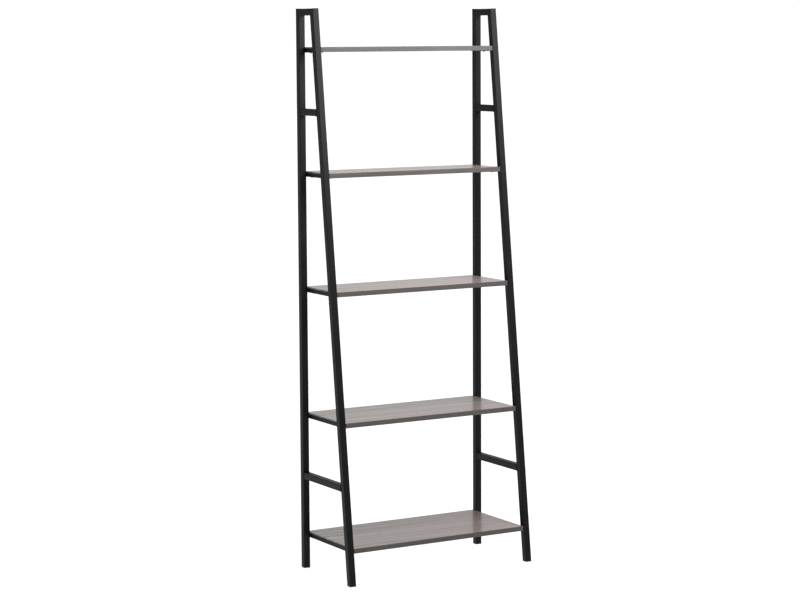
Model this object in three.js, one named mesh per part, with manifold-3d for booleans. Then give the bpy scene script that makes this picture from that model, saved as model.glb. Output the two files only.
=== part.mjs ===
// Ladder shelf. Two welded side frames of square steel tube hold five wood-grain boards between them.
// Millimetres. +Z is up, -Y is the front, and the origin is on the floor under the middle of the shelf.
import * as THREE from "three";
import { mergeVertices } from "three/addons/utils/BufferGeometryUtils.js";
import Module from "manifold-3d";

const wasm = await Module();
wasm.setup();

// Overall sizes
const WIDTH = 661; // across the outside of the two side frames
const DEPTH_AT_FLOOR = 318; // front of a leg to the back of a post, on the floor
const DEPTH_AT_TOP = 110; // the same, at the top of the frame

// Shelves, from the floor up
const LOWEST_SHELF = 114; // floor to the top of the lowest board
const SHELF_STEPS = [380, 397, 360, 382]; // top of each board to the top of the next one
const TOP_REACH = 117; // top of the highest board to the top of the frame

// Square steel tube
const TUBE = 21;
const TUBE_WALL = 1.2;
const TUBE_CORNER = 1.8; // outside corner radius

// Boards
const BOARD_THICKNESS = 15;
const BOARD_INSET = 1; // how far the board's long edges stay behind the frame's front and back
const BOARD_END_GAP = 1; // between a board's end and the side frame
const STRIP_THICKNESS = 1; // edging glued along the board's front and back

// Rails: a folded steel angle under each end of each board
const RAIL_STEEL = 1.5;
const RAIL_HEIGHT = 12;
const RAIL_LEDGE = 18; // how far the ledge reaches in under the board
const RAIL_BEND = 1.5; // outside radius of the fold

// Shelf screws, driven up through the ledge
const SCREW_RADIUS = 1.75;
const SCREW_BITE = 10; // depth in the board
const SCREW_POINT = 2;
const SCREW_FROM_RAIL_END = 20;
const HEAD_RADIUS = 3.6;
const HEAD_HEIGHT = 2.2;
const PILOT_END = 0.8; // free depth of the pilot hole past the screw's point

// Foot plugs
const FOOT_BASE = 3;
const FOOT_INSERT = 16;
const FOOT_EASE = 1; // how far the insert starts inside the base, so that the two are one piece

const FIT = 0.3; // clearance between neighbouring pieces

// Facets
const CORNER_STEPS = 3;
const HOLE_SIDES = 16;
const SCREW_SIDES = 12;

// What follows from those sizes
const sum = (values) => values.reduce((total, value) => total + value, 0);
const HEIGHT = LOWEST_SHELF + sum(SHELF_STEPS) + TOP_REACH;
const SHELF_TOPS = [0, ...SHELF_STEPS].map((_, i) => LOWEST_SHELF + sum(SHELF_STEPS.slice(0, i)));
const FRONT = -DEPTH_AT_FLOOR / 2;
const BACK = DEPTH_AT_FLOOR / 2;
const LEG_RUN = DEPTH_AT_FLOOR - DEPTH_AT_TOP; // how far the leg comes back over the full height
const LEG_ANGLE = Math.atan2(LEG_RUN, HEIGHT);
const FRAME_X = (WIDTH - TUBE) / 2; // middle of a side frame
const INNER_X = WIDTH / 2 - TUBE; // inner face of a side frame

const steelBlack = { color: 0x1c1c1f, roughness: 0.55, metalness: 0.4 };
const woodGrain = { color: 0x9d958f, roughness: 0.6, metalness: 0 };
const edging = { color: 0x5e554f, roughness: 0.6, metalness: 0 };
const plasticBlack = { color: 0x141414, roughness: 0.7, metalness: 0 };
const screwBlack = { color: 0x2a2a2c, roughness: 0.4, metalness: 0.9 };

function piece(name, geometry, finish) {
  geometry.computeVertexNormals();
  const mesh = new THREE.Mesh(geometry, new THREE.MeshStandardMaterial(finish));
  mesh.name = name;
  return mesh;
}

function toSolid(geometry) {
  const bare = geometry.clone();
  bare.deleteAttribute("normal");
  bare.deleteAttribute("uv");
  const merged = mergeVertices(bare, 1e-4);
  const vertProperties = new Float32Array(merged.attributes.position.array);
  const triVerts = new Uint32Array(merged.index.array);
  return new wasm.Manifold(new wasm.Mesh({ numProp: 3, vertProperties, triVerts }));
}

function toGeometry(solid) {
  const mesh = solid.getMesh();
  const geometry = new THREE.BufferGeometry();
  geometry.setAttribute("position", new THREE.BufferAttribute(new Float32Array(mesh.vertProperties), 3));
  geometry.setIndex(new THREE.BufferAttribute(new Uint32Array(mesh.triVerts), 1));
  return geometry;
}

function cutAway(geometry, cutters) {
  const rest = cutters.reduce((solid, cutter) => solid.subtract(toSolid(cutter)), toSolid(geometry));
  return toGeometry(rest);
}

// A square outline with round corners, counter-clockwise.
function roundedSquare(size, radius) {
  const reach = size / 2 - radius;
  const outline = new THREE.Shape();
  for (let turn = 0; turn < 4; turn += 1) {
    const start = (turn * Math.PI) / 2;
    const x = Math.SQRT2 * reach * Math.cos(start + Math.PI / 4);
    const y = Math.SQRT2 * reach * Math.sin(start + Math.PI / 4);
    outline.absarc(x, y, radius, start, start + Math.PI / 2);
  }
  return outline;
}

function tubeSection() {
  const section = roundedSquare(TUBE, TUBE_CORNER);
  section.holes.push(roundedSquare(TUBE - 2 * TUBE_WALL, TUBE_CORNER - TUBE_WALL));
  return section;
}

// A bar that follows a line in a side frame's plane, with each end cut by its own plane.
function bar(section, line, startPlane, endPlane) {
  const options = { depth: 1, bevelEnabled: false, curveSegments: CORNER_STEPS };
  const geometry = new THREE.ExtrudeGeometry(section, options);
  const across = new THREE.Vector3(1, 0, 0);
  const over = new THREE.Vector3().crossVectors(line.direction, across);
  const corners = geometry.attributes.position;
  for (let i = 0; i < corners.count; i += 1) {
    const corner = line.origin.clone();
    corner.addScaledVector(across, corners.getX(i));
    corner.addScaledVector(over, corners.getY(i));
    const plane = corners.getZ(i) < 0.5 ? startPlane : endPlane;
    const slide = -plane.distanceToPoint(corner) / plane.normal.dot(line.direction);
    corner.addScaledVector(line.direction, slide);
    corners.setXYZ(i, corner.x, corner.y, corner.z);
  }
  return geometry;
}

const inFrame = (y, z) => new THREE.Vector3(0, y, z);
const lineFrom = (origin, direction) => new THREE.Ray(origin, direction.clone().normalize());

// A plane across the side frame through two of its points, moved along its own normal.
function planeThrough(a, b, shift = 0) {
  const along = b.clone().sub(a);
  const normal = new THREE.Vector3(0, -along.z, along.y).normalize();
  return new THREE.Plane().setFromNormalAndCoplanarPoint(normal, a.clone().addScaledVector(normal, shift));
}

const levelPlane = (z) => new THREE.Plane(new THREE.Vector3(0, 0, 1), -z);

// The side frame's lines: post upright at the back, leg leaning back from the floor.
const legUp = inFrame(Math.sin(LEG_ANGLE), Math.cos(LEG_ANGLE));
const legBack = inFrame(Math.cos(LEG_ANGLE), -Math.sin(LEG_ANGLE));
const legFoot = inFrame(FRONT, 0);
const legLine = lineFrom(legFoot.clone().addScaledVector(legBack, TUBE / 2), legUp);
const postLine = lineFrom(inFrame(BACK - TUBE / 2, 0), inFrame(0, 1));
const legRearFoot = legFoot.clone().addScaledVector(legBack, TUBE);
const legFrontAt = (z) => FRONT + z * Math.tan(LEG_ANGLE);
const legRearAt = (z) => legRearFoot.y + (z - legRearFoot.z) * Math.tan(LEG_ANGLE);
const againstLeg = planeThrough(legRearFoot, legRearFoot.clone().add(legUp), -FIT);
const againstPost = new THREE.Plane(inFrame(1, 0), -(BACK - TUBE - FIT));

// Mitres at the two upper corners, each split by half the clearance.
function mitre(outerY, innerY, shift) {
  return planeThrough(inFrame(innerY, HEIGHT - TUBE), inFrame(outerY, HEIGHT), shift);
}
const rearMitre = (shift) => mitre(BACK, BACK - TUBE, shift);
const frontMitre = (shift) => mitre(legFrontAt(HEIGHT), legRearAt(HEIGHT - TUBE), shift);

// Underside and middle of the open space that a rung crosses.
const undersideOf = (shelf) => SHELF_TOPS[shelf] - BOARD_THICKNESS;
const middleAbove = (shelf) => (SHELF_TOPS[shelf] + undersideOf(shelf + 1)) / 2;

// A level bar from post to leg. It runs forwards, so that its section's y points up.
function levelBar(section, z) {
  return bar(section, lineFrom(inFrame(0, z), inFrame(-1, 0)), againstPost, againstLeg);
}

function foot(line) {
  const base = bar(roundedSquare(TUBE, TUBE_CORNER), line, levelPlane(0), levelPlane(FOOT_BASE));
  const insertSize = TUBE - 2 * TUBE_WALL - 2 * FIT;
  const insertTop = levelPlane(FOOT_BASE + FOOT_INSERT);
  const insertStart = levelPlane(FOOT_BASE - FOOT_EASE);
  const insert = bar(roundedSquare(insertSize, TUBE_CORNER - TUBE_WALL), line, insertStart, insertTop);
  return toGeometry(toSolid(base).add(toSolid(insert)));
}

function sideFrame(side, sign) {
  const frame = new THREE.Group();
  frame.position.x = sign * FRAME_X;
  const tubeStart = levelPlane(FOOT_BASE + FIT);
  const post = bar(tubeSection(), postLine, tubeStart, rearMitre(-FIT / 2));
  const leg = bar(tubeSection(), legLine, tubeStart, frontMitre(FIT / 2));
  const capLine = lineFrom(inFrame(0, HEIGHT - TUBE / 2), inFrame(1, 0));
  const cap = bar(tubeSection(), capLine, frontMitre(-FIT / 2), rearMitre(FIT / 2));
  frame.add(piece(`rear_post_${side}`, post, steelBlack));
  frame.add(piece(`front_leg_${side}`, leg, steelBlack));
  frame.add(piece(`top_cap_${side}`, cap, steelBlack));
  frame.add(piece(`lower_rung_${side}`, levelBar(tubeSection(), middleAbove(0)), steelBlack));
  const highest = SHELF_TOPS.length - 1;
  frame.add(piece(`upper_rung_${side}`, levelBar(tubeSection(), middleAbove(highest - 1)), steelBlack));
  frame.add(piece(`foot_rear_${side}`, foot(postLine), plasticBlack));
  frame.add(piece(`foot_front_${side}`, foot(legLine), plasticBlack));
  return frame;
}

// The rail's section: x = 0 is the side frame's inner face, sign points outwards, and y runs up.
function railSection(sign) {
  const bendX = (RAIL_STEEL - RAIL_BEND) * sign;
  const outwards = sign > 0 ? 0 : -Math.PI;
  const outline = new THREE.Shape();
  outline.moveTo(-RAIL_LEDGE * sign, 0);
  outline.absarc(bendX, RAIL_BEND, RAIL_BEND, -Math.PI / 2, outwards, sign < 0);
  outline.lineTo(RAIL_STEEL * sign, RAIL_HEIGHT);
  outline.lineTo(0, RAIL_HEIGHT);
  outline.lineTo(0, RAIL_STEEL);
  outline.lineTo(-RAIL_LEDGE * sign, RAIL_STEEL);
  return outline;
}

function uprightHole(x, y, z, radius, height) {
  const hole = new THREE.CylinderGeometry(radius, radius, height, HOLE_SIDES);
  hole.rotateX(Math.PI / 2);
  hole.translate(x, y, z);
  return hole;
}

// A pan-head screw standing on its head: the head is below z = 0 and the point is on top.
function screwShape() {
  const length = FIT + RAIL_STEEL + FIT + SCREW_BITE;
  const profile = new THREE.Path();
  profile.moveTo(0, -HEAD_HEIGHT);
  profile.quadraticCurveTo(HEAD_RADIUS, -HEAD_HEIGHT, HEAD_RADIUS, 0);
  profile.lineTo(SCREW_RADIUS, 0);
  profile.lineTo(SCREW_RADIUS, length - SCREW_POINT);
  profile.lineTo(0, length);
  const lathe = new THREE.LatheGeometry(profile.getPoints(CORNER_STEPS), SCREW_SIDES);
  lathe.rotateX(Math.PI / 2);
  return toGeometry(toSolid(lathe));
}

// Screw places along the rail under one shelf.
function screwPlaces(shelf) {
  const level = undersideOf(shelf);
  return [legRearAt(level) + SCREW_FROM_RAIL_END, BACK - TUBE - SCREW_FROM_RAIL_END];
}

function rail(shelf, side, sign) {
  const bottom = undersideOf(shelf) - FIT - RAIL_STEEL;
  const holeX = (-RAIL_LEDGE / 2) * sign;
  const holes = screwPlaces(shelf).map((y) => {
    return uprightHole(holeX, y, bottom + RAIL_STEEL / 2, SCREW_RADIUS + FIT, RAIL_STEEL * 3);
  });
  const angle = cutAway(levelBar(railSection(sign), bottom), holes);
  const mesh = piece(`shelf_rail_${shelf + 1}_${side}`, angle, steelBlack);
  mesh.position.x = sign * INNER_X;
  return mesh;
}

function shelf(index) {
  const parts = new THREE.Group();
  const number = index + 1;
  const top = SHELF_TOPS[index];
  const front = legFrontAt(top) + BOARD_INSET;
  const back = BACK - BOARD_INSET;
  const length = 2 * (INNER_X - BOARD_END_GAP);
  const middle = top - BOARD_THICKNESS / 2;
  const coreDepth = back - front - 2 * (STRIP_THICKNESS + FIT);
  const board = new THREE.BoxGeometry(length, coreDepth, BOARD_THICKNESS);
  board.translate(0, (front + back) / 2, middle);
  const screwX = INNER_X - RAIL_LEDGE / 2;
  const pilotDepth = SCREW_BITE + PILOT_END;
  const sides = [["left", -1], ["right", 1]];
  const pilots = sides.flatMap(([, sign]) => screwPlaces(index).map((y) => {
    return uprightHole(sign * screwX, y, undersideOf(index), SCREW_RADIUS + FIT, 2 * pilotDepth);
  }));
  parts.add(piece(`shelf_board_${number}`, cutAway(board, pilots), woodGrain));
  const stripPlaces = [["front", front + STRIP_THICKNESS / 2], ["rear", back - STRIP_THICKNESS / 2]];
  for (const [edge, y] of stripPlaces) {
    const strip = new THREE.BoxGeometry(length, STRIP_THICKNESS, BOARD_THICKNESS);
    const mesh = piece(`edge_strip_${edge}_${number}`, strip, edging);
    mesh.position.set(0, y, middle);
    parts.add(mesh);
  }
  for (const [side, sign] of sides) {
    parts.add(rail(index, side, sign));
    screwPlaces(index).forEach((y, i) => {
      const end = i === 0 ? "front" : "rear";
      const screw = piece(`shelf_screw_${number}_${side}_${end}`, screwShape(), screwBlack);
      screw.position.set(sign * screwX, y, undersideOf(index) - FIT - RAIL_STEEL - FIT);
      parts.add(screw);
    });
  }
  return parts;
}

const ladderShelf = new THREE.Group();
ladderShelf.add(sideFrame("left", -1), sideFrame("right", 1));
SHELF_TOPS.forEach((_, index) => ladderShelf.add(shelf(index)));

export default ladderShelf;
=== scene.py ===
import math

import bmesh
import bpy
from mathutils import Matrix, Vector


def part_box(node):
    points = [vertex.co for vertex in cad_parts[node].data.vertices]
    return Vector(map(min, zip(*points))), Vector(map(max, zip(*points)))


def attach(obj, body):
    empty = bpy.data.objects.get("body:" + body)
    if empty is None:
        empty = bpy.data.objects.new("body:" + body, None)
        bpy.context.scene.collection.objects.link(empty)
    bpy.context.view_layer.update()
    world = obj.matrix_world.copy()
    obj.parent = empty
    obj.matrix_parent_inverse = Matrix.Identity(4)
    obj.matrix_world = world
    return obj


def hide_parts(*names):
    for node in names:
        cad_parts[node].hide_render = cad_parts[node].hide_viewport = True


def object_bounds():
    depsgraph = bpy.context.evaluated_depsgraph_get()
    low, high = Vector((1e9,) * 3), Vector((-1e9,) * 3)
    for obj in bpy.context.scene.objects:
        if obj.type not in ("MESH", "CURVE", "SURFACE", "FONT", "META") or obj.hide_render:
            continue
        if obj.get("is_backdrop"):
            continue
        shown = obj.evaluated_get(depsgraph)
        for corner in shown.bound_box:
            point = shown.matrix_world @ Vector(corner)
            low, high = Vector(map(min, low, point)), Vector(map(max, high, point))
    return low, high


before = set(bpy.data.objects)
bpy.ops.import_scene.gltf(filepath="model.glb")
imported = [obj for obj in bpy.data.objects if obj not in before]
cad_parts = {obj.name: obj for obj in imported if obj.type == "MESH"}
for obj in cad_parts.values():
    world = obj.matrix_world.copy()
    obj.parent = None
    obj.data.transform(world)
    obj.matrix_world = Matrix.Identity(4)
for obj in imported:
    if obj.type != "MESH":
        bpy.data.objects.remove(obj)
cad_low, cad_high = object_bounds()


# ---------------------------------------------------------------------------------------------
# Side frames, left and right. Ten lengths of 21 mm square steel tube with round corners: an
# upright post, a leg that leans back, a cap that closes the top and two rungs in each frame.
# They are cut to their mitres, welded, and powder coated satin black as one piece of steel.

SIDES = (("left", -1), ("right", 1))
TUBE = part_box("rear_post_right")[1].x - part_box("rear_post_right")[0].x
TUBE_WALL = 0.0012
TUBE_CORNER = 0.0018
CORNER_STEPS = 7
INNER_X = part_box("rear_post_right")[0].x
FRAME_X = INNER_X + TUBE / 2
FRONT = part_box("foot_front_right")[0].y
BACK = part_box("rear_post_right")[1].y
HEIGHT = cad_high.z
FOOT_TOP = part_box("rear_post_right")[0].z
RUNG_LAP = 0.0017  # a rung's cut end reaches this far round the corners of the post and the leg

ACROSS = Vector((1, 0, 0))
UP = Vector((0, 0, 1))
FORWARD = Vector((0, -1, 0))
SHELVES = range(1, 6)
LEG_SLOPE = (
    (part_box("edge_strip_front_5")[0].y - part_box("edge_strip_front_1")[0].y)
    / (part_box("edge_strip_front_5")[1].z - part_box("edge_strip_front_1")[1].z)
)
LEG_UP = Vector((0, LEG_SLOPE, 1)).normalized()
LEG_BACK = Vector((0, LEG_UP.z, -LEG_UP.y))
LEG_FRONT_FOOT = Vector((0, FRONT, 0))
LEG_REAR_FOOT = LEG_FRONT_FOOT + TUBE * LEG_BACK


def leg_front_at(z):
    return FRONT + z * LEG_SLOPE


def leg_rear_at(z):
    return LEG_REAR_FOOT.y + (z - LEG_REAR_FOOT.z) * LEG_SLOPE


def rounded_square(size, radius):
    """A square outline with round corners, counter-clockwise, as 2-D points."""
    reach = size / 2 - radius
    outline = []
    for quarter, (sx, sy) in enumerate(((1, 1), (-1, 1), (-1, -1), (1, -1))):
        for step in range(CORNER_STEPS + 1):
            turn = math.pi / 2 * (quarter + step / CORNER_STEPS)
            x = sx * reach + radius * math.cos(turn)
            y = sy * reach + radius * math.sin(turn)
            outline.append(Vector((x, y)))
    return outline


def level(z):
    """A level plane, as a point and a normal."""
    return Vector((0, 0, z)), UP


def plane_through(a, b):
    """The plane across a side frame that holds two of the frame's points."""
    along = b - a
    return a, Vector((0, -along.z, along.y)).normalized()


def moved(plane, shift):
    """A plane pushed along its own normal."""
    point, normal = plane
    return point + shift * normal, normal


def ring_on(outline, origin, direction, plane):
    """The outline carried along a direction until each of its points lies on the plane."""
    over = direction.cross(ACROSS)
    point, normal = plane
    ring = []
    for place in outline:
        start = origin + place.x * ACROSS + place.y * over
        slide = (point - start).dot(normal) / direction.dot(normal)
        ring.append(start + slide * direction)
    return ring


def skin(bm, rings, turned=False):
    """Joins rings of points, one after the other, with quads and returns their vertices."""
    rows = [[bm.verts.new(place) for place in ring] for ring in rings]
    for row, following in zip(rows, rows[1:]):
        for i in range(len(row)):
            j = (i + 1) % len(row)
            corners = (row[i], row[j], following[j], following[i])
            bm.faces.new(corners[::-1] if turned else corners)
    return rows


def close_ends(bm, rows):
    """Fills the first and the last of the rings that a skin runs over."""
    bm.faces.new(rows[0][::-1])
    bm.faces.new(rows[-1])


def bridge(bm, outer, inner, turned=False):
    """The flat ring between an outer and an inner row of vertices."""
    for i in range(len(outer)):
        j = (i + 1) % len(outer)
        corners = (outer[i], inner[i], inner[j], outer[j])
        bm.faces.new(corners[::-1] if turned else corners)


def placed(name, data):
    """A new object, put in the scene."""
    thing = bpy.data.objects.new(name, data)
    bpy.context.scene.collection.objects.link(thing)
    return thing


def modified(mesh, kind, inputs=None, **settings):
    """The mesh with one modifier applied, and for a node group its inputs set by identifier."""
    work = placed("work", mesh)
    modifier = work.modifiers.new("work", kind)
    for key, value in settings.items():
        setattr(modifier, key, value)
    for key, value in (inputs or {}).items():
        modifier[key] = value
    bpy.context.view_layer.update()
    graph = bpy.context.evaluated_depsgraph_get()
    shape = work.evaluated_get(graph)
    result = bpy.data.meshes.new_from_object(shape, preserve_all_data_layers=True, depsgraph=graph)
    bpy.data.objects.remove(work)
    return result


def as_mesh(bm, name):
    mesh = bpy.data.meshes.new(name)
    bm.to_mesh(mesh)
    bm.free()
    return mesh


def shaded(mesh, name, sharp_from=35):
    """Smooth shading that keeps flat faces flat and edges over so many degrees sharp."""
    bm = bmesh.new()
    bm.from_mesh(mesh)
    bmesh.ops.recalc_face_normals(bm, faces=bm.faces)
    for face in bm.faces:
        face.smooth = True
    for edge in bm.edges:
        edge.smooth = edge.calc_face_angle(math.pi) < math.radians(sharp_from)
    even = as_mesh(bm, name + "_even")
    result = modified(even, "WEIGHTED_NORMAL", weight=100, keep_sharp=True)
    result.name = name
    return result


def add_piece(name, mesh, materials, nodes):
    """Puts a finished mesh in the scene, on the part's body, for the CAD nodes that it replaces."""
    mesh.materials.clear()
    for material in materials:
        mesh.materials.append(material)
    piece = placed(name, mesh)
    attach(piece, "root")
    if nodes:
        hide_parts(*nodes)
    return piece


class Socket:
    """One output of a node. Sums, products and the like make the Math nodes between them."""

    def __init__(self, tree, output=None):
        self.tree = tree
        self.output = output

    def make(self, kind, settings=None, inputs=None, output=0):
        """Adds any node, its settings first and then its values and links."""
        node = self.tree.nodes.new(kind)
        for key, value in (settings or {}).items():
            setattr(node, key, value)
        for key, value in (inputs or {}).items():
            if isinstance(value, Socket):
                self.tree.links.new(value.output, node.inputs[key])
            else:
                node.inputs[key].default_value = value
        outputs = node.outputs
        return Socket(self.tree, outputs[output] if len(outputs) else None)

    def math(self, operation, *values):
        inputs = dict(enumerate(values))
        return self.make("ShaderNodeMath", {"operation": operation}, inputs)

    def __add__(self, other):
        return self.math("ADD", self, other)

    def __radd__(self, other):
        return self.math("ADD", other, self)

    def __sub__(self, other):
        return self.math("SUBTRACT", self, other)

    def __rsub__(self, other):
        return self.math("SUBTRACT", other, self)

    def __mul__(self, other):
        return self.math("MULTIPLY", self, other)

    def __rmul__(self, other):
        return self.math("MULTIPLY", other, self)

    def __truediv__(self, other):
        return self.math("DIVIDE", self, other)

    def __rtruediv__(self, other):
        return self.math("DIVIDE", other, self)

    def sine(self):
        return self.math("SINE", self)

    def ramp(self, low, high):
        """Rises smoothly from 0 to 1 as the value goes from low to high."""
        settings = {"interpolation_type": "SMOOTHSTEP"}
        inputs = {"Value": self, "From Min": low, "From Max": high, "To Min": 0.0, "To Max": 1.0}
        return self.make("ShaderNodeMapRange", settings, inputs)

    def mix(self, low, high):
        """A colour between two others, low where the value is 0 and high where it is 1."""
        return self.make("ShaderNodeMix", {"data_type": "RGBA"}, {0: self, 6: low, 7: high}, 2)

    def vector(self, x, y, z):
        return self.make("ShaderNodeCombineXYZ", None, {"X": x, "Y": y, "Z": z})

    def times(self, x, y, z):
        """A vector stretched along each axis by its own amount."""
        return self.make("ShaderNodeVectorMath", {"operation": "MULTIPLY"}, {0: self, 1: (x, y, z)})

    def noise(self, scale, detail=2.0, roughness=0.5):
        inputs = {"Vector": self, "Scale": scale, "Detail": detail, "Roughness": roughness}
        return self.make("ShaderNodeTexNoise", None, inputs)

    def axes(self):
        """The three parts of a vector."""
        split = self.tree.nodes.new("ShaderNodeSeparateXYZ")
        self.tree.links.new(self.output, split.inputs[0])
        return [Socket(self.tree, output) for output in split.outputs]


def new_material(name):
    """An empty material, and where a point lies in the part's own frame, in metres."""
    material = bpy.data.materials.new(name)
    material.use_nodes = True
    material.node_tree.nodes.clear()
    start = Socket(material.node_tree)
    return material, start.make("ShaderNodeTexCoord", output="Object")


def finish_material(place, colour, roughness, height, depth, constants):
    """Joins colour, roughness and relief to a surface shader. Depth is the relief's in metres."""
    bump = {"Strength": 1.0, "Distance": depth, "Height": height}
    relief = place.make("ShaderNodeBump", None, bump)
    inputs = {"Base Color": colour, "Roughness": roughness, "Normal": relief, **constants}
    surface = place.make("ShaderNodeBsdfPrincipled", None, inputs)
    place.make("ShaderNodeOutputMaterial", None, {"Surface": surface})


def powder_coat():
    """Satin black with a soft orange peel, a fine grit with painted glints on it and a slight
    mottle.
    """
    material, place = new_material("powder_coat")
    peel = place.noise(420, 1.0)
    grit = place.noise(2600, 2.0, 0.6)
    mottle = place.noise(11, 3.0, 0.6)
    flow = place.times(1, 1, 0.12).noise(45, 2.0)
    # Painted glint: the grit's highest specks are painted paler in the colour, as tiny highlights.
    painted_glint = grit.ramp(0.58, 0.72)
    shade = mottle.ramp(0.3, 0.7).mix((0.0025, 0.0025, 0.0034, 1), (0.005, 0.005, 0.0065, 1))
    colour = (painted_glint * 0.55).mix(shade, (0.022, 0.022, 0.025, 1))
    roughness = 0.34 + mottle * 0.1 + flow * 0.08 + grit * 0.1
    height = peel * 0.7 + grit * 0.3
    finish_material(place, colour, roughness, height, 0.00012, {"Specular IOR Level": 0.13})
    return material


def tube_mesh(name, origin, direction, planes):
    """A hollow length of tube along a line, with both of its ends cut by planes."""
    bm = bmesh.new()
    outline = rounded_square(TUBE, TUBE_CORNER)
    bore = rounded_square(TUBE - 2 * TUBE_WALL, TUBE_CORNER - TUBE_WALL)
    outside = skin(bm, [ring_on(outline, origin, direction, plane) for plane in planes])
    inside = skin(bm, [ring_on(bore, origin, direction, plane) for plane in planes], True)
    bridge(bm, outside[0], inside[0])
    bridge(bm, outside[-1], inside[-1], True)
    return shaded(as_mesh(bm, name + "_raw"), name)


STEEL = powder_coat()
REAR_MITRE = plane_through(Vector((0, BACK - TUBE, HEIGHT - TUBE)), Vector((0, BACK, HEIGHT)))
FRONT_MITRE = plane_through(
    Vector((0, leg_rear_at(HEIGHT - TUBE), HEIGHT - TUBE)),
    Vector((0, leg_front_at(HEIGHT), HEIGHT)),
)
POST_FACE = plane_through(Vector((0, BACK - TUBE, 0)), Vector((0, BACK - TUBE, 1)))
LEG_FACE = plane_through(LEG_REAR_FOOT, LEG_REAR_FOOT + LEG_UP)
RUNG_LEVELS = {
    name: sum(corner.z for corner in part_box(f"{name}_rung_right")) / 2
    for name in ("lower", "upper")
}

RUNG_ENDS = (moved(POST_FACE, -RUNG_LAP), moved(LEG_FACE, RUNG_LAP))
TUBE_CUTS = {
    "rear_post": (UP, (level(FOOT_TOP), REAR_MITRE)),
    "front_leg": (LEG_UP, (level(FOOT_TOP), FRONT_MITRE)),
    "top_cap": (FORWARD, (REAR_MITRE, FRONT_MITRE)),
    "lower_rung": (FORWARD, RUNG_ENDS),
    "upper_rung": (FORWARD, RUNG_ENDS),
}


def frame_axes(sign):
    """A point on the axis of each tube of one side frame."""
    middle = sign * FRAME_X * ACROSS
    axes = {
        "rear_post": middle + Vector((0, BACK - TUBE / 2, 0)),
        "front_leg": middle + LEG_FRONT_FOOT + TUBE / 2 * LEG_BACK,
        "top_cap": middle + Vector((0, 0, HEIGHT - TUBE / 2)),
    }
    for name, height in RUNG_LEVELS.items():
        axes[f"{name}_rung"] = middle + Vector((0, 0, height))
    return axes


for side, sign in SIDES:
    axes = frame_axes(sign)
    for name, (direction, ends) in TUBE_CUTS.items():
        mesh = tube_mesh(f"steel_{name}_{side}", axes[name], direction, ends)
        add_piece(f"steel_{name}_{side}", mesh, [STEEL], [f"{name}_{side}"])


# ---------------------------------------------------------------------------------------------
# Shelf rails, ten of them. Each is a strip of 1.5 mm steel folded to an angle: its ledge carries
# one end of a board and its upright edge closes the board's end. It is welded between post and
# leg by its upright and has two holes in the ledge for the shelf screws. Same powder coat.

RAIL_STEEL = 0.0015
RAIL_FOLD = 0.0006  # inside radius of the fold
RAIL_LAP = 0.0007  # how far the upright's ends reach into the rounding of the post and the leg
RAIL_EASE = 0.00025  # rounding of its cut edges
FOLD_STEPS = 6
SCREW_HOLE = 0.00205  # radius of a ledge's hole
PILOT_HOLE = 0.0015  # radius of a board's hole
PILOT_PAST = 0.0008  # free depth past the screw's point
HOLE_SIDES = 24
ENDS = ("front", "rear")


def middle_of(node):
    low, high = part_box(node)
    return (low + high) / 2


def rail_outline(ledge, height, sign):
    """The folded section: x is 0 at the upright's inner face and y is 0 under the ledge."""
    fold = Vector((-RAIL_FOLD, RAIL_STEEL + RAIL_FOLD))
    half = [Vector((-ledge, RAIL_STEEL)), Vector((-ledge, 0))]
    turns = [math.pi / 2 * (step / FOLD_STEPS - 1) for step in range(FOLD_STEPS + 1)]
    for turn in turns:
        half.append(fold + (RAIL_FOLD + RAIL_STEEL) * Vector((math.cos(turn), math.sin(turn))))
    half += [Vector((RAIL_STEEL, height)), Vector((0, height))]
    for turn in reversed(turns):
        half.append(fold + RAIL_FOLD * Vector((math.cos(turn), math.sin(turn))))
    outline = [Vector((place.x * sign, place.y)) for place in half]
    return outline if sign > 0 else outline[::-1]


def lathe(bm, profile, sides, at):
    """Turns a profile of radius and height pairs about an upright axis. Both ends close."""
    turns = [2 * math.pi * i / sides for i in range(sides)]
    rings = []
    for radius, height in profile[1:-1]:
        rings.append(
            [at + Vector((radius * math.cos(t), radius * math.sin(t), height)) for t in turns]
        )
    rows = skin(bm, rings)
    for row, height, flip in ((rows[0], profile[0][1], True), (rows[-1], profile[-1][1], False)):
        pole = bm.verts.new(at + Vector((0, 0, height)))
        for i in range(sides):
            j = (i + 1) % sides
            bm.faces.new((row[j], row[i], pole) if flip else (row[i], row[j], pole))


def drill_for(shelf):
    """The four stepped holes of one shelf: wide through the ledges, narrow in the board."""
    bm = bmesh.new()
    for side, _ in SIDES:
        ledge_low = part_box(f"shelf_rail_{shelf}_{side}")[0].z
        board_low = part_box(f"shelf_board_{shelf}")[0].z
        for end in ENDS:
            screw = f"shelf_screw_{shelf}_{side}_{end}"
            at = middle_of(screw)
            at.z = board_low
            below = ledge_low - board_low - RAIL_STEEL
            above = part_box(screw)[1].z + PILOT_PAST - board_low
            profile = [(0, below), (SCREW_HOLE, below), (SCREW_HOLE, 0)]
            profile += [(PILOT_HOLE, 0), (PILOT_HOLE, above), (0, above)]
            lathe(bm, profile, HOLE_SIDES, at)
    bmesh.ops.recalc_face_normals(bm, faces=bm.faces)
    return placed(f"drill_{shelf}", as_mesh(bm, f"drill_{shelf}"))


def drilled(mesh, tool, **settings):
    """The mesh without what the tool takes out of it."""
    cut = {"object": tool, "operation": "DIFFERENCE", "solver": "EXACT", **settings}
    return modified(mesh, "BOOLEAN", **cut)


def ease_edges(bm, width, steps, over=60):
    """Rounds every edge that turns by more than so many degrees."""
    sharp = [edge for edge in bm.edges if edge.calc_face_angle(0) > math.radians(over)]
    bmesh.ops.bevel(bm, geom=sharp, offset=width, segments=steps, profile=0.5, affect="EDGES")


DRILLS = {shelf: drill_for(shelf) for shelf in SHELVES}

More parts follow.
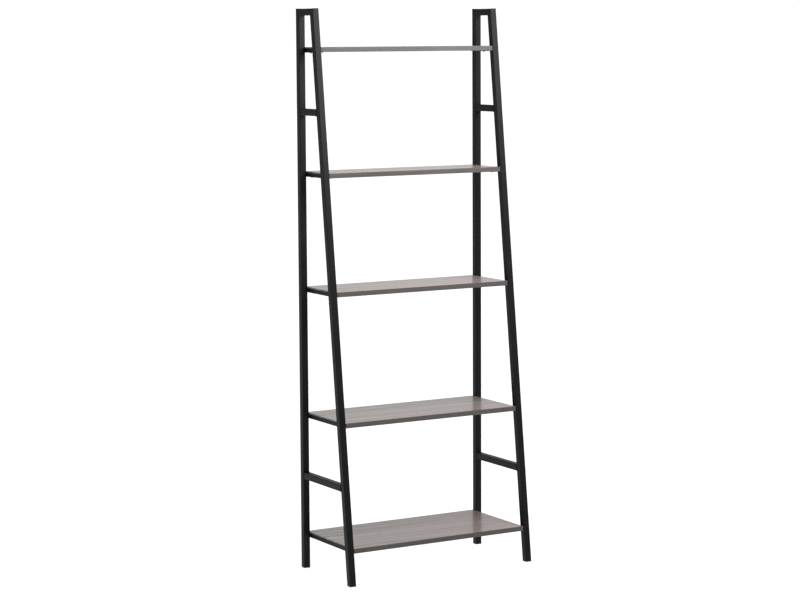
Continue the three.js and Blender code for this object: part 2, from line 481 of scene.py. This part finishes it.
for shelf in SHELVES:
    for side, sign in SIDES:
        node = f"shelf_rail_{shelf}_{side}"
        low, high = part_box(node)
        ledge = (INNER_X - low.x) if sign > 0 else (high.x + INNER_X)
        outline = rail_outline(ledge, high.z - low.z, sign)
        at = Vector((sign * INNER_X, 0, low.z))
        ends = (moved(POST_FACE, -RAIL_LAP), moved(LEG_FACE, RAIL_LAP))
        bm = bmesh.new()
        close_ends(bm, skin(bm, [ring_on(outline, at, FORWARD, plane) for plane in ends]))
        bmesh.ops.recalc_face_normals(bm, faces=bm.faces)
        ease_edges(bm, RAIL_EASE, 2)
        name = f"steel_rail_{shelf}_{side}"
        mesh = shaded(drilled(as_mesh(bm, node + "_raw"), DRILLS[shelf]), name)
        add_piece(name, mesh, [STEEL], [node])


# ---------------------------------------------------------------------------------------------
# Weld beads. They hold the side frames together: one round each end of every rung, one along
# each mitre of the caps, and a short one down each end of every rail's upright. Each is a small
# rippled ridge under the same powder coat.

BEAD_RIPPLE = 0.0016  # from one ripple to the next
BEAD_STEPS = 6  # sections in each ripple
BEAD_SIDES = 8
MITRE_BEAD = 0.0007
RUNG_BEAD = 0.0014
RAIL_BEAD = 0.0011
RAIL_SEAM_OUT = 0.0006  # from the upright's inner face to the bead's middle
RAIL_SEAM_IN = 0.0003  # from the face of the post or the leg to the bead's middle
RAIL_SEAM_LOW = 0.0015  # from under the ledge to the bead's lower end
RAIL_SEAM_HIGH = 0.0008  # from the bead's upper end to the top of the upright


def new_tree(name, source, wanted):
    """A node tree that takes a mesh and more inputs: the tree, their identifiers and sockets."""
    tree = bpy.data.node_groups.new(name, "GeometryNodeTree")
    faces = tree.interface
    faces.new_socket("Geometry", in_out="OUTPUT", socket_type="NodeSocketGeometry")
    faces.new_socket(source, in_out="INPUT", socket_type="NodeSocketGeometry")
    keys = {}
    for label, kind in wanted:
        keys[label] = faces.new_socket(label, in_out="INPUT", socket_type=kind).identifier
    start = tree.nodes.new("NodeGroupInput")
    return tree, keys, [Socket(tree, start.outputs[i]) for i in range(len(wanted) + 1)]


def end_tree(shape):
    """Makes a shape the result of its node tree."""
    end = shape.tree.nodes.new("NodeGroupOutput")
    shape.tree.links.new(shape.output, end.inputs[0])


def bead_nodes():
    """Runs a bead along every edge: a round section whose radius ripples along the weld."""
    wanted = (
        ("Radius", "NodeSocketFloat"),
        ("Ripple", "NodeSocketFloat"),
        ("Seed", "NodeSocketInt"),
        ("Coat", "NodeSocketMaterial"),
    )
    tree, keys, (seam, radius, ripple, seed, coat) = new_tree("weld_bead", "Seam", wanted)
    line = seam.make("GeometryNodeMeshToCurve", None, {0: seam})
    inputs = {"Curve": line, "Length": ripple / BEAD_STEPS}
    fine = line.make("GeometryNodeResampleCurve", {"mode": "LENGTH"}, inputs)
    along = line.make("GeometryNodeSplineParameter", output="Length")
    inputs = {"W": along * 400 + seed * 7.3, "Detail": 1.0}
    wobble = along.make("ShaderNodeTexNoise", {"noise_dimensions": "1D"}, inputs)
    phase = along / ripple * math.tau + wobble * 4
    size = radius * (0.86 + 0.14 * phase.sine() + 0.25 * (wobble - 0.5))
    inputs = {"Resolution": BEAD_SIDES, "Radius": 1.0}
    ring = line.make("GeometryNodeCurvePrimitiveCircle", None, inputs)
    inputs = {"Curve": fine, "Profile Curve": ring, "Scale": size, "Fill Caps": True}
    body = line.make("GeometryNodeCurveToMesh", None, inputs)
    smooth = line.make("GeometryNodeSetShadeSmooth", None, {"Geometry": body})
    real = line.make("GeometryNodeRealizeInstances", None, {"Geometry": smooth})
    coated = line.make("GeometryNodeSetMaterial", None, {"Geometry": real, "Material": coat})
    end_tree(coated)
    return tree, keys


def seam_mesh(name, lines):
    """The seams to weld, as edges. A closed seam's last point joins its first."""
    bm = bmesh.new()
    for points, closed in lines:
        row = [bm.verts.new(place) for place in points]
        for start, end in zip(row, row[1:] + row[:1] if closed else row[1:]):
            bm.edges.new((start, end))
    return as_mesh(bm, name)


BEADS, BEAD_KEYS = bead_nodes()

for side, sign in SIDES:
    axes = frame_axes(sign)
    outline = rounded_square(TUBE, TUBE_CORNER)
    mitres = []
    for plane in (REAR_MITRE, FRONT_MITRE):
        mitres.append((ring_on(outline, axes["top_cap"], FORWARD, plane), True))
    rungs = []
    for name in ("lower_rung", "upper_rung"):
        for plane in (POST_FACE, LEG_FACE):
            rungs.append((ring_on(outline, axes[name], FORWARD, plane), True))
    uprights = []
    for shelf in SHELVES:
        low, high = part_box(f"shelf_rail_{shelf}_{side}")
        for plane in (moved(POST_FACE, -RAIL_SEAM_IN), moved(LEG_FACE, RAIL_SEAM_IN)):
            points = []
            for z in (low.z + RAIL_SEAM_LOW, high.z - RAIL_SEAM_HIGH):
                at = Vector((sign * (INNER_X + RAIL_SEAM_OUT), 0, z))
                points += ring_on([Vector((0, 0))], at, FORWARD, plane)
            uprights.append((points, False))
    welds = (
        ("mitre", mitres, MITRE_BEAD, 3),
        ("rung", rungs, RUNG_BEAD, 5),
        ("rail", uprights, RAIL_BEAD, 8),
    )
    for name, lines, radius, seed in welds:
        inputs = {
            BEAD_KEYS["Radius"]: radius,
            BEAD_KEYS["Ripple"]: BEAD_RIPPLE,
            BEAD_KEYS["Seed"]: seed + sign,
            BEAD_KEYS["Coat"]: STEEL,
        }
        seams = seam_mesh(f"seam_{name}_{side}", lines)
        mesh = modified(seams, "NODES", inputs, node_group=BEADS)
        mesh.name = f"weld_{name}_{side}"
        add_piece(f"weld_{name}_{side}", mesh, [STEEL], [])


# ---------------------------------------------------------------------------------------------
# Foot plugs, one in the open lower end of each of the four tubes. Black moulded plastic: a
# square pad with round edges that stands on the floor, hollowed underneath round a small boss,
# and a ribbed insert that grips inside the tube.

FOOT_GAP = 0.00012  # seam between the pad and the tube's cut end
FOOT_EDGE = 0.0006  # rounding of the pad's outer edges
FOOT_EASE = 0.0002  # chamfer on the rim and on the boss
FOOT_RIM = 0.003
FOOT_HOLLOW = 0.0012
BOSS_SIZE = 0.006
BOSS_LOW = 0.0003
LEAST_CORNER = 0.0004
INSERT_PLAY = 0.0006
INSERT_TAPER = 0.0004
INSERT_SIZE = TUBE - 2 * TUBE_WALL - INSERT_PLAY
RIB_DEPTH = 0.0003
RIB_HEIGHTS = (0.006, 0.010, 0.014)
RIB_HALF = 0.0006
EDGE_STEPS = 4


def moulded_plastic():
    """Dull black plastic with a fine spark-eroded grain and slightly paler worn spots."""
    material, place = new_material("moulded_plastic")
    grain = place.noise(3200, 2.0, 0.65)
    cloud = place.noise(60, 3.0)
    scuff = place.times(1, 1, 3).noise(240, 4.0, 0.7).ramp(0.55, 0.72)
    shade = cloud.ramp(0.3, 0.7).mix((0.008, 0.008, 0.009, 1), (0.015, 0.015, 0.016, 1))
    colour = (scuff * 0.3).mix(shade, (0.04, 0.04, 0.042, 1))
    roughness = 0.5 + grain * 0.16 + scuff * 0.1
    finish_material(place, colour, roughness, grain, 0.00006, {"Specular IOR Level": 0.45})
    return material


def foot_mesh(name, origin, direction, top):
    """One closed skin, ring by ring: boss, hollow, rim, round edges, then the ribbed insert."""
    pad_top = FOOT_TOP - FOOT_GAP
    inside = TUBE - 2 * FOOT_RIM
    boss = BOSS_SIZE + 2 * FOOT_EASE
    rings = [(BOSS_SIZE, BOSS_LOW), (boss, BOSS_LOW + FOOT_EASE), (boss, FOOT_HOLLOW)]
    rings += [(inside - 2 * FOOT_EASE, FOOT_HOLLOW), (inside, FOOT_HOLLOW - FOOT_EASE)]
    rings += [(inside, FOOT_EASE), (inside + 2 * FOOT_EASE, 0)]
    turns = [math.pi / 2 * step / EDGE_STEPS for step in range(EDGE_STEPS + 1)]
    for turn in turns:
        size = TUBE - 2 * FOOT_EDGE * (1 - math.sin(turn))
        rings.append((size, FOOT_EDGE * (1 - math.cos(turn))))
    for turn in reversed(turns):
        size = TUBE - FOOT_EDGE * (1 - math.sin(turn))
        rings.append((size, pad_top - FOOT_EDGE / 2 * (1 - math.cos(turn))))
    slim = INSERT_SIZE - 2 * RIB_DEPTH
    rings.append((slim, pad_top))
    for height in RIB_HEIGHTS:
        rings += [(slim, height - RIB_HALF), (INSERT_SIZE, height), (slim, height + RIB_HALF)]
    rings += [(slim, top - INSERT_TAPER), (slim - 2 * INSERT_TAPER, top)]
    bm = bmesh.new()
    places = []
    for size, z in rings:
        corner = max(LEAST_CORNER, TUBE_CORNER - (TUBE - size) / 2)
        places.append(ring_on(rounded_square(size, corner), origin, direction, level(z)))
    close_ends(bm, skin(bm, places))
    return shaded(as_mesh(bm, name + "_raw"), name)


PLASTIC = moulded_plastic()

for side, sign in SIDES:
    axes = frame_axes(sign)
    for end, tube, direction in (("rear", "rear_post", UP), ("front", "front_leg", LEG_UP)):
        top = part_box(f"foot_{end}_{side}")[1].z
        mesh = foot_mesh(f"plug_{end}_{side}", axes[tube], direction, top)
        add_piece(f"plug_{end}_{side}", mesh, [PLASTIC], [f"foot_{end}_{side}"])


# ---------------------------------------------------------------------------------------------
# Shelf boards, five of them, each as deep as the frame is at its height. Board faced with a
# satin grey-brown woodgrain laminate whose grain runs along the shelf, its ends sealed with a
# dark foil, and pilot holes in its underside for the screws.

BOARD_EASE = 0.0003  # rounding of the board's edges


def wood_grain(name, dark, light, warm, pore, relief, gloss):
    """Grain along X: broad bands, fine fibres, growth rings, dark pores and a drift of tint."""
    material, place = new_material(name)
    x, y, z = place.axes()
    bend = place.times(1.7, 9, 5).noise(1.0, 3.0)
    drift = place.times(0.9, 3.5, 4).noise(1.0, 1.0)
    across = y + 0.016 * (bend - 0.5)
    bands = place.vector(x * 1.3, across * 46, z * 31).noise(1.0, 4.0, 0.6)
    fibres = place.vector(x * 16, across * 560, z * 420).noise(1.0, 3.0, 0.6)
    dashes = place.vector(x * 42, across * 1300, z * 900).noise(1.0, 1.0)
    rings = (across * 150 + drift * 34 + z * 17).sine() * 0.5 + 0.5
    pores = dashes.ramp(0.6, 0.7) * bands.ramp(0.35, 0.6)
    tone = bands.ramp(0.32, 0.68) * 0.5 + fibres.ramp(0.3, 0.7) * 0.32 + rings * 0.18
    base = tone.mix(dark, light)
    tinted = ((drift + x * 0.2 - z * 0.1).ramp(0.38, 0.62) * 0.6).mix(base, warm)
    colour = (pores * 0.6).mix(tinted, pore)
    roughness = 0.44 + fibres * 0.16 + pores * 0.15 - rings * 0.03
    height = fibres * 0.5 + bands * 0.2 - pores
    lacquer = {"Specular IOR Level": 0.3, "Coat Weight": gloss, "Coat Roughness": 0.13}
    finish_material(place, colour, roughness, height, relief, lacquer)
    return material


def box_bmesh(low, high):
    """A plain box from its lowest to its highest corner."""
    bm = bmesh.new()
    corners = []
    for x in (low.x, high.x):
        for y in (low.y, high.y):
            corners += [bm.verts.new((x, y, z)) for z in (low.z, high.z)]
    sides = ((0, 1, 3, 2), (4, 6, 7, 5), (0, 4, 5, 1), (2, 3, 7, 6), (0, 2, 6, 4), (1, 5, 7, 3))
    for side in sides:
        bm.faces.new([corners[i] for i in side])
    bmesh.ops.recalc_face_normals(bm, faces=bm.faces)
    return bm


LAMINATE = wood_grain(
    "laminate",
    dark=(0.062, 0.053, 0.048, 1),
    light=(0.235, 0.206, 0.187, 1),
    warm=(0.203, 0.134, 0.13, 1),
    pore=(0.045, 0.038, 0.034, 1),
    relief=0.00005,
    gloss=0.36,
)
EDGING = wood_grain(
    "edging",
    dark=(0.037, 0.032, 0.03, 1),
    light=(0.081, 0.071, 0.066, 1),
    warm=(0.067, 0.056, 0.053, 1),
    pore=(0.02, 0.016, 0.014, 1),
    relief=0.00004,
    gloss=0.1,
)

for shelf in SHELVES:
    node = f"shelf_board_{shelf}"
    low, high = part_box(node)
    bm = box_bmesh(low, high)
    ease_edges(bm, BOARD_EASE, 2)
    mesh = shaded(drilled(as_mesh(bm, node + "_raw"), DRILLS[shelf]), f"board_{shelf}")
    for face in mesh.polygons:
        face.material_index = 1 if abs(face.normal.x) > 0.5 else 0
    add_piece(f"board_{shelf}", mesh, [LAMINATE, EDGING], [node])

for tool in DRILLS.values():
    bpy.data.objects.remove(tool)


# ---------------------------------------------------------------------------------------------
# Edging strips, one glued along the front and one along the rear of each board. A dark
# woodgrain band with its edges rounded over, set tight against the board.

STRIP_EASE = 0.0004  # rounding of the strip's edges

for shelf in SHELVES:
    board_low, board_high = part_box(f"shelf_board_{shelf}")
    for end in ENDS:
        node = f"edge_strip_{end}_{shelf}"
        low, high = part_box(node)
        if end == "front":
            high.y = board_low.y
        else:
            low.y = board_high.y
        bm = box_bmesh(low, high)
        ease_edges(bm, STRIP_EASE, 3)
        mesh = shaded(as_mesh(bm, node + "_raw"), f"strip_{end}_{shelf}")
        add_piece(f"strip_{end}_{shelf}", mesh, [EDGING], [node])


# ---------------------------------------------------------------------------------------------
# Shelf screws, four to a board, driven up through the ledges. Black-plated steel pan heads with
# a cross recess, and a coarse thread that bites in the board.

HEAD_RADIUS = 0.0036
HEAD_HEIGHT = 0.0022
HEAD_SIDES = 32
HEAD_FLAT = 0.97  # radius of the head's flat, as a part of the head's
HEAD_LAP = 0.00004  # how far the flat lies in the ledge, so that no gap shows
DOME_STEPS = 8
DOME_ROUND = 0.8  # below 1 the dome is fuller than an ellipse
SCREW_CORE = 0.00125
SCREW_CREST = 0.00175
SCREW_PITCH = 0.0013
SCREW_TIP = 0.002  # length of the cone at its end
SCREW_POINT = 0.00008  # radius at the very end
THREAD_SIDES = 20
THREAD_STEPS = 8  # rows of vertices in each turn of the thread
THREAD_SLOPE = 2.2  # the higher, the narrower the thread's ridge
RECESS = 0.0012
RECESS_HALF = 0.00032
RECESS_REACH = 0.0019
RECESS_TAPER = 0.55  # the cross's reach at its bottom, as a part of that at its top
RECESS_OVER = 0.0002  # how far the cutting tool stands out of the head


def black_plating():
    """Dark plated steel, with paler metal on the worn spots."""
    material, place = new_material("black_plating")
    cloud = place.noise(700, 3.0, 0.6)
    fine = place.noise(5200, 2.0)
    worn = cloud.ramp(0.56, 0.75)
    shade = fine.ramp(0.3, 0.7).mix((0.02, 0.02, 0.022, 1), (0.045, 0.045, 0.05, 1))
    colour = (worn * 0.5).mix(shade, (0.16, 0.16, 0.165, 1))
    roughness = 0.3 + cloud * 0.2 + fine * 0.08
    finish_material(place, colour, roughness, fine, 0.00002, {"Metallic": 0.9})
    return material


def screw_mesh():
    """One screw standing on its head: z is 0 under the head's flat, where it meets the ledge."""
    low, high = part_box("shelf_screw_1_right_front")
    length = high.z - low.z - HEAD_HEIGHT
    bm = bmesh.new()
    dome = []
    for step in range(DOME_STEPS + 1):
        turn = math.pi / 2 * step / DOME_STEPS
        radius = HEAD_RADIUS * math.sin(turn) ** DOME_ROUND
        dome.append((radius, -HEAD_HEIGHT * math.cos(turn) ** DOME_ROUND))
    dome += [(HEAD_RADIUS * HEAD_FLAT, HEAD_LAP), (0, HEAD_LAP)]
    lathe(bm, dome, HEAD_SIDES, Vector())
    bmesh.ops.recalc_face_normals(bm, faces=bm.faces)
    head = as_mesh(bm, "screw_head")
    cross = bmesh.new()
    for wide, deep in ((RECESS_REACH, RECESS_HALF), (RECESS_HALF, RECESS_REACH)):
        rings = []
        for z, share in ((-RECESS_OVER - HEAD_HEIGHT, 1.0), (RECESS - HEAD_HEIGHT, RECESS_TAPER)):
            x = wide * share if wide > RECESS_HALF else wide
            y = deep * share if deep > RECESS_HALF else deep
            corners = ((x, y, z), (-x, y, z), (-x, -y, z), (x, -y, z))
            rings.append([Vector(corner) for corner in corners])
        close_ends(cross, skin(cross, rings))
    bmesh.ops.recalc_face_normals(cross, faces=cross.faces)
    tool = placed("cross_tool", as_mesh(cross, "cross_tool"))
    bm = bmesh.new()
    bm.from_mesh(drilled(head, tool, use_self=True))
    bpy.data.objects.remove(tool)
    rings = []
    count = int(length / SCREW_PITCH * THREAD_STEPS)
    for row in range(count + 1):
        z = length * row / count
        point = min(1.0, (length - z) / SCREW_TIP)
        ring = []
        for i in range(THREAD_SIDES):
            turn = i / THREAD_SIDES
            phase = abs((z / SCREW_PITCH - turn) % 1 - 0.5) * 2
            ridge = max(0.0, 1 - phase * THREAD_SLOPE)
            crest = SCREW_CORE + (SCREW_CREST - SCREW_CORE) * ridge
            radius = max(SCREW_POINT, crest * point)
            angle = math.tau * turn
            ring.append(Vector((radius * math.cos(angle), radius * math.sin(angle), z)))
        rings.append(ring)
    close_ends(bm, skin(bm, rings))
    return shaded(as_mesh(bm, "screw_raw"), "screw")


def screw_nodes():
    """Sets one screw on every point, each turned about its own axis by a fixed random angle."""
    wanted = (
        ("Screw", "NodeSocketObject"),
        ("Seed", "NodeSocketInt"),
        ("Plating", "NodeSocketMaterial"),
    )
    tree, keys, (places, screw, seed, plating) = new_tree("driven_screws", "Places", wanted)
    points = places.make("GeometryNodeMeshToPoints", None, {"Mesh": places})
    shape = places.make("GeometryNodeObjectInfo", None, {"Object": screw}, "Geometry")
    inputs = {2: 0.0, 3: math.tau, "Seed": seed}
    turn = places.make("FunctionNodeRandomValue", {"data_type": "FLOAT"}, inputs, 1)
    turned = places.vector(0.0, 0.0, turn)
    rotation = places.make("FunctionNodeEulerToRotation", None, {0: turned})
    inputs = {"Points": points, "Instance": shape, "Rotation": rotation}
    driven = places.make("GeometryNodeInstanceOnPoints", None, inputs)
    real = places.make("GeometryNodeRealizeInstances", None, {"Geometry": driven})
    plated = places.make("GeometryNodeSetMaterial", None, {"Geometry": real, "Material": plating})
    end_tree(plated)
    return tree, keys


PLATING = black_plating()
SCREW_NODES = []
for shelf in SHELVES:
    for side, _ in SIDES:
        SCREW_NODES += [f"shelf_screw_{shelf}_{side}_{end}" for end in ENDS]

master = placed("screw_master", screw_mesh())
places = bmesh.new()
for node in SCREW_NODES:
    at = middle_of(node)
    at.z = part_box(node)[0].z + HEAD_HEIGHT
    places.verts.new(at)
tree, keys = screw_nodes()
inputs = {keys["Screw"]: master, keys["Seed"]: 11, keys["Plating"]: PLATING}
mesh = modified(as_mesh(places, "screw_places"), "NODES", inputs, node_group=tree)
mesh.name = "screws"
bpy.data.objects.remove(master)
add_piece("screws", mesh, [PLATING], SCREW_NODES)


# ---------------------------------------------------------------------------------------------
# Studio. A plain pale floor that glows softly, even light from all round that is stronger
# above and on the backdrop behind the shelf, a broad lamp overhead and a panel high in front.

FLOOR_HALF = 40.0
FLOOR_DEEP = 0.05
FLOOR_GLOW = 0.97


def floor_material():
    """Matt and pale, with a glow of its own that washes out the shadows on it."""
    material, place = new_material("studio_floor")
    cloud = place.noise(3, 2.0)
    colour = cloud.mix((0.19, 0.19, 0.19, 1), (0.21, 0.21, 0.21, 1))
    roughness = 0.85 + cloud * 0.1
    glow = {"Emission Color": (1, 1, 1, 1), "Emission Strength": FLOOR_GLOW}
    constants = {"Specular IOR Level": 0.1, **glow}
    finish_material(place, colour, roughness, cloud, 0.00001, constants)
    return material


floor_corner = Vector((FLOOR_HALF, FLOOR_HALF, 0))
slab = box_bmesh(-floor_corner - FLOOR_DEEP * UP, floor_corner)
floor = placed("studio_floor", as_mesh(slab, "studio_floor"))
floor.data.materials.append(floor_material())
floor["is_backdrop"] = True

VIEW_AZIMUTH = math.radians(30.36)
VIEW_PITCH = math.radians(-6.636)
VIEW_ROLL = math.radians(-0.311)
VIEW_BACK = 7.0778  # from the shelf's middle, along the floor
VIEW_ASIDE = -0.0495
VIEW_HEIGHT = 1.6692
VIEW_LENS = 102.41  # in millimetres
ahead = Vector((math.sin(VIEW_AZIMUTH), math.cos(VIEW_AZIMUTH), 0))
aside = Vector((math.cos(VIEW_AZIMUTH), -math.sin(VIEW_AZIMUTH), 0))

STUDIO_LIGHT = 0.28
DOME_LIGHT = 0.5
DOME_FROM = 0.3  # sine of the height at which the dome's light begins
DOME_FULL = 0.9
BACKDROP_LIGHT = 0.78
BACKDROP_FROM = 0.8  # cosine of the angle from the backdrop's middle to its rim
BACKDROP_FULL = 0.95
world = bpy.data.worlds.new("studio")
bpy.context.scene.world = world
world.use_nodes = True
world.node_tree.nodes.clear()
sky = Socket(world.node_tree)
towards = sky.make("ShaderNodeTexCoord", output="Generated")
facing = sky.make("ShaderNodeVectorMath", {"operation": "DOT_PRODUCT"}, {0: towards, 1: ahead}, 1)
rise = towards.axes()[2]
strength = STUDIO_LIGHT + rise.ramp(DOME_FROM, DOME_FULL) * DOME_LIGHT
strength += facing.ramp(BACKDROP_FROM, BACKDROP_FULL) * BACKDROP_LIGHT
shell = sky.make("ShaderNodeBackground", None, {"Color": (1, 1, 1, 1), "Strength": strength})
sky.make("ShaderNodeOutputWorld", None, {"Surface": shell})

LAMP_LIGHT = 0.5
LAMP_SPREAD = math.radians(70)
LAMP_TILT = (math.radians(-12), math.radians(-14), 0)
overhead = bpy.data.lights.new("overhead", "SUN")
overhead.energy = LAMP_LIGHT
overhead.angle = LAMP_SPREAD
lamp = placed("overhead", overhead)
lamp.rotation_euler = LAMP_TILT

PANEL_WATTS = 36
PANEL_SIZE = 0.9
PANEL_PLACE = Vector((0.45, -0.95, 1.95))
PANEL_AIM = Vector((0, -0.05, 0.9))
panel = bpy.data.lights.new("panel", "AREA")
panel.energy = PANEL_WATTS
panel.size = PANEL_SIZE
softbox = placed("panel", panel)
softbox.location = PANEL_PLACE
softbox.rotation_euler = (PANEL_AIM - PANEL_PLACE).to_track_quat("-Z", "Y").to_euler()

view_data = bpy.data.cameras.new("view")
view_data.sensor_width = 36.0
view_data.lens = VIEW_LENS
view_data.clip_start = 0.1
view_data.clip_end = 200.0
camera = placed("view", view_data)
look = math.cos(VIEW_PITCH) * ahead + math.sin(VIEW_PITCH) * UP
head = math.cos(VIEW_PITCH) * UP - math.sin(VIEW_PITCH) * ahead
right_axis = math.cos(VIEW_ROLL) * aside + math.sin(VIEW_ROLL) * head
up_axis = math.cos(VIEW_ROLL) * head - math.sin(VIEW_ROLL) * aside
camera.rotation_mode = "QUATERNION"
camera.rotation_quaternion = Matrix((right_axis, up_axis, -look)).transposed().to_quaternion()
camera.location = VIEW_ASIDE * aside - VIEW_BACK * ahead + VIEW_HEIGHT * UP
bpy.context.scene.camera = camera
bpy.context.scene.view_settings.view_transform = "Standard"

low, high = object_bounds()
